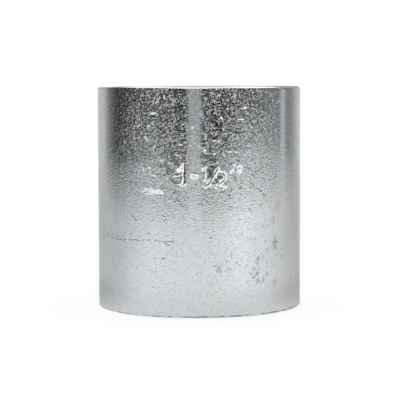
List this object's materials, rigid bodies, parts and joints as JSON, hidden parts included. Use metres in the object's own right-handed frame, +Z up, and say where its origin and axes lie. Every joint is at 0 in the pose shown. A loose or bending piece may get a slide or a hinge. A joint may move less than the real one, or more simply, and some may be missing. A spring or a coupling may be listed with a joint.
{
  "type": "threaded coupling",
  "caption": "Short plain steel sleeve with an internal pipe thread tapped right through it and countersunk mouths; it joins the threaded ends of two lengths of rigid conduit.",
  "frame": {"origin": "middle of the lower end face, which it stands on", "axes": "+Z up along the bore, -Y is the side that carries the size mark, +X to the right seen from that side"},
  "size_m": [0.0548, 0.0548, 0.0591],
  "materials": {
    "zinc_plated_steel": "zinc plated, barrel worn, semi-bright"
  },
  "bodies": {
    "root": {"coupling": "zinc_plated_steel"}
  },
  "joints": []
}
